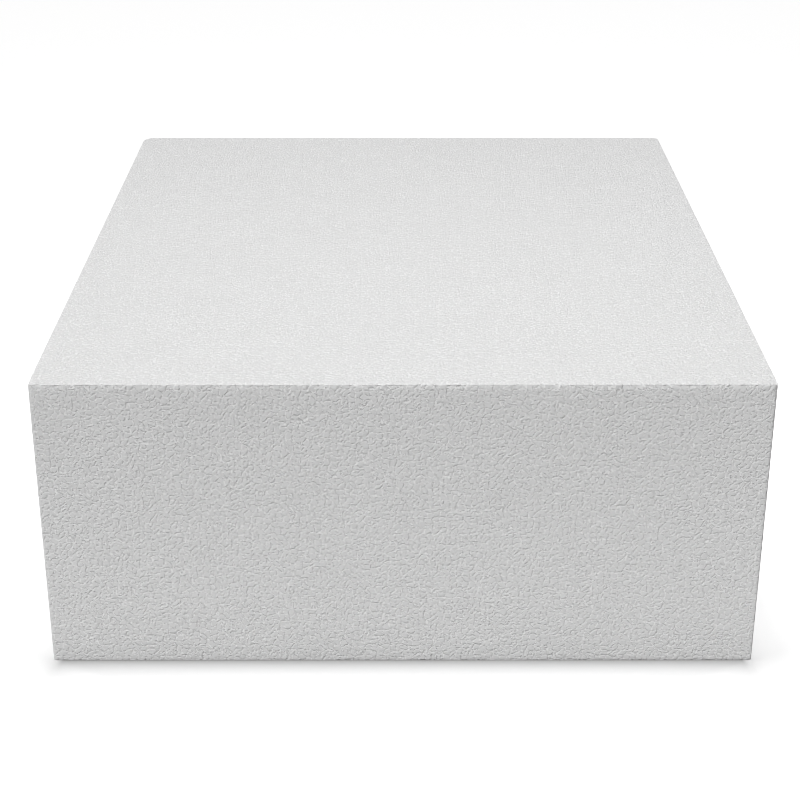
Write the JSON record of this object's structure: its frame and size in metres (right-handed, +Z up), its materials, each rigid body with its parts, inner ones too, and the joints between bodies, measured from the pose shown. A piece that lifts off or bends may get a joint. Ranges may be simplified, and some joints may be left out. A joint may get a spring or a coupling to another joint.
{
  "type": "foam block",
  "caption": "Plain rectangular block of white bead foam with flat faces, crisp front edges and slightly worn rear corners.",
  "frame": {"origin": "middle of the underside", "axes": "+Z up through the height, +Y from the front face to the rear face along the depth, +X to the right across the width"},
  "size_m": [0.37, 0.44, 0.16],
  "materials": {
    "foam": "matte, fused white beads"
  },
  "bodies": {
    "root": {"foam_block": "foam"}
  },
  "joints": []
}
